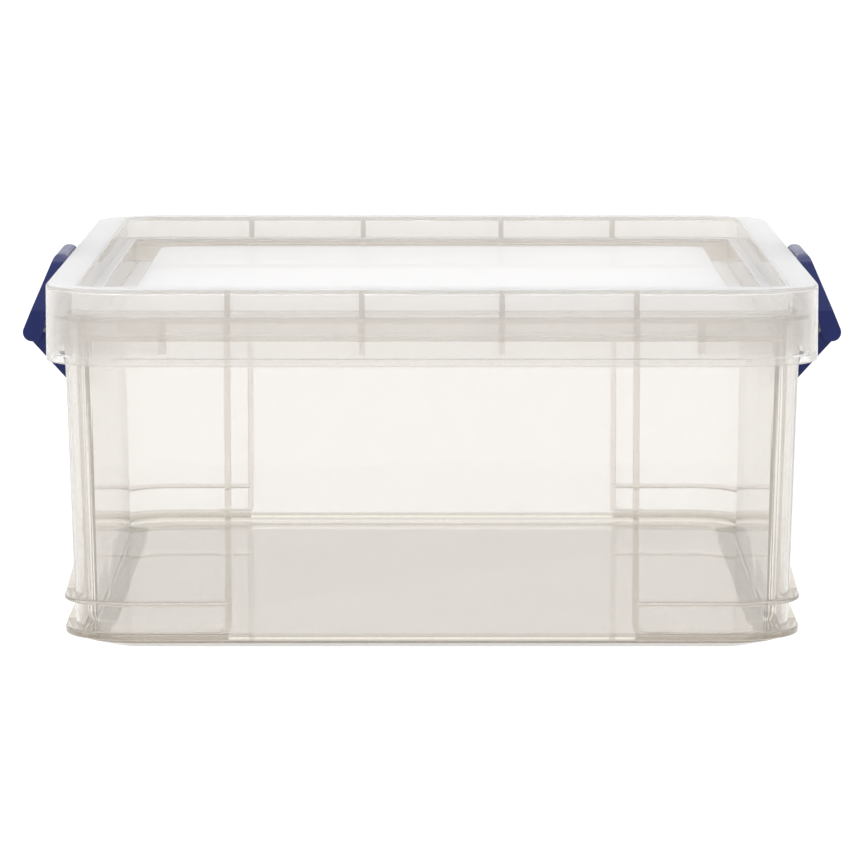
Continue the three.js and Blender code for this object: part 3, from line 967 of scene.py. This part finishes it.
def floor_material():
    """A pale studio sweep that glows a little, so that it stays white to the horizon."""
    material, tree = new_material("studio_floor")
    link = tree.links.new
    matt = add(tree, "ShaderNodeBsdfDiffuse")
    matt.inputs["Color"].default_value = FLOOR_GREY
    glow = add(tree, "ShaderNodeEmission", Strength=FLOOR_GLOW)
    mix = tree.nodes.new("ShaderNodeMixShader")
    mix.inputs["Fac"].default_value = FLOOR_GLOW_MIX
    link(matt.outputs[0], mix.inputs[1])
    link(glow.outputs[0], mix.inputs[2])
    output = tree.nodes.new("ShaderNodeOutputMaterial")
    link(mix.outputs[0], output.inputs["Surface"])
    return material


# ---- studio ------------------------------------------------------------------

def studio_floor():
    mesh = bpy.data.meshes.new("studio_floor")
    signs = ((-1, -1), (1, -1), (1, 1), (-1, 1))
    corners = [(sx * FLOOR_HALF, sy * FLOOR_HALF, 0) for sx, sy in signs]
    mesh.from_pydata(corners, [], [(0, 1, 2, 3)])
    mesh.materials.append(floor_material())
    floor = bpy.data.objects.new("studio_floor", mesh)
    floor.location.z = -FLOOR_DROP
    bpy.context.scene.collection.objects.link(floor)


def studio_light():
    """White all round, darker at the sides and the front, and a soft lamp overhead."""
    world = bpy.data.worlds.new("studio")
    bpy.context.scene.world = world
    world.use_nodes = True
    tree = world.node_tree
    tree.nodes.clear()
    direction = tree.nodes.new("ShaderNodeTexCoord")
    parts = tree.nodes.new("ShaderNodeSeparateXYZ")
    tree.links.new(direction.outputs["Generated"], parts.inputs[0])
    sideways = calculated(tree, "ABSOLUTE", parts.outputs["X"])
    depth = ramp(tree, parts.outputs["Y"], (-1.0, 1.0), (FRONT_LIGHT, BACK_LIGHT))
    sides = ramp(tree, sideways, (0.35, 0.95), (1.0, SIDE_LIGHT))
    light = calculated(tree, "MULTIPLY", depth, sides)
    background = tree.nodes.new("ShaderNodeBackground")
    tree.links.new(light, background.inputs["Strength"])
    output = tree.nodes.new("ShaderNodeOutputWorld")
    tree.links.new(background.outputs[0], output.inputs["Surface"])

    lamp = bpy.data.lights.new("overhead", "SUN")
    lamp.angle = math.radians(OVERHEAD_SPREAD)
    lamp.energy = OVERHEAD
    lamp.color = OVERHEAD_COLOUR
    overhead = bpy.data.objects.new("overhead", lamp)
    overhead.rotation_euler.x = math.radians(-OVERHEAD_TILT)
    bpy.context.scene.collection.objects.link(overhead)


def camera():
    data = bpy.data.cameras.new("camera")
    data.lens = LENS
    data.sensor_width = SENSOR
    view = bpy.data.objects.new("camera", data)
    view.location = CAMERA_PLACE
    view.rotation_euler = (math.radians(90 - CAMERA_DOWN), 0, 0)
    bpy.context.scene.collection.objects.link(view)
    bpy.context.scene.camera = view


def render_settings():
    """Enough bounces for light to get through every wall of the box."""
    scene = bpy.context.scene
    scene.view_settings.view_transform = "Standard"
    scene.cycles.max_bounces = BOUNCES
    scene.cycles.transmission_bounces = BOUNCES
    scene.cycles.volume_bounces = BOUNCES
    scene.cycles.transparent_max_bounces = CLEAR_BOUNCES


# ---- the model ---------------------------------------------------------------

camera()
render_settings()
studio_floor()
studio_light()

navy = navy_plastic()
lid_plastic = clear_plastic("milky_plastic_lid", LID_TINT, LID_HAZE, LID_MILK, LID_FROST)
tub_plastic = clear_plastic("milky_plastic_tub", TUB_TINT, TUB_HAZE, TUB_MILK, TUB_FROST)
finished(lid(), "lid_shell", "lid", lid_plastic)
finished(tub(), "tub_shell", "tub", tub_plastic)
clip = right_clip()
finished(mirrored(clip), "clip_left_shell", "clip_left", navy)
finished(clip, "clip_right_shell", "clip_right", navy)
